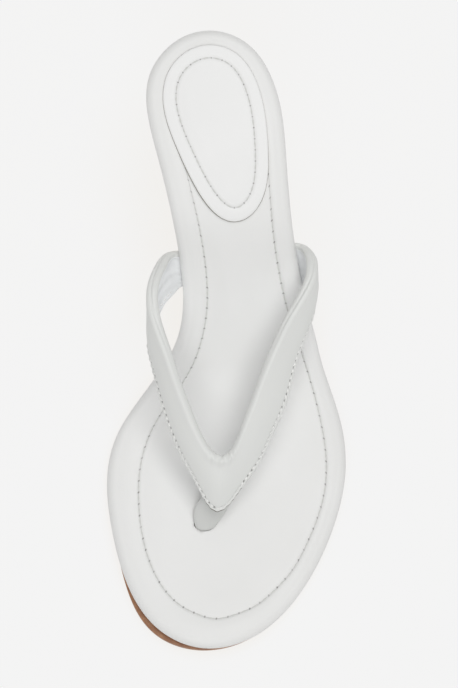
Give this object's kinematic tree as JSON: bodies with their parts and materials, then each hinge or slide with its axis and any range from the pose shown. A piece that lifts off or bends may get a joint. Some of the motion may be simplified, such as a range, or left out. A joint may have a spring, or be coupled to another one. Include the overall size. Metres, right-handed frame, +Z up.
{
  "type": "stiletto toe post sandal",
  "caption": "Left stiletto toe post sandal: padded leather footbed, folded V strap held by a toe post, thin leather outsole and slim covered heel.",
  "frame": {"origin": "on the floor, under the middle of the shoe's box, to within 0.5 mm", "axes": "+Z up, toe towards -Y, heel towards +Y, inner side of the foot towards -X"},
  "size_m": [0.0865, 0.2115, 0.0736],
  "materials": {
    "outsole_leather": "smooth tan sole leather with a burnished edge",
    "footbed_leather": "matt white nappa",
    "pad_leather": "matt white nappa, bare",
    "strap_leather": "soft white nappa, folded and padded",
    "post_leather": "soft white nappa",
    "heel_leather": "white nappa stretched over the heel block",
    "tip_rubber": "off-white moulded top piece"
  },
  "bodies": {
    "root": {"outsole": "outsole_leather", "insole": "footbed_leather", "heel_pad": "pad_leather", "strap": "strap_leather", "toe_post": "post_leather", "heel": "heel_leather", "heel_tip": "tip_rubber"}
  },
  "joints": []
}
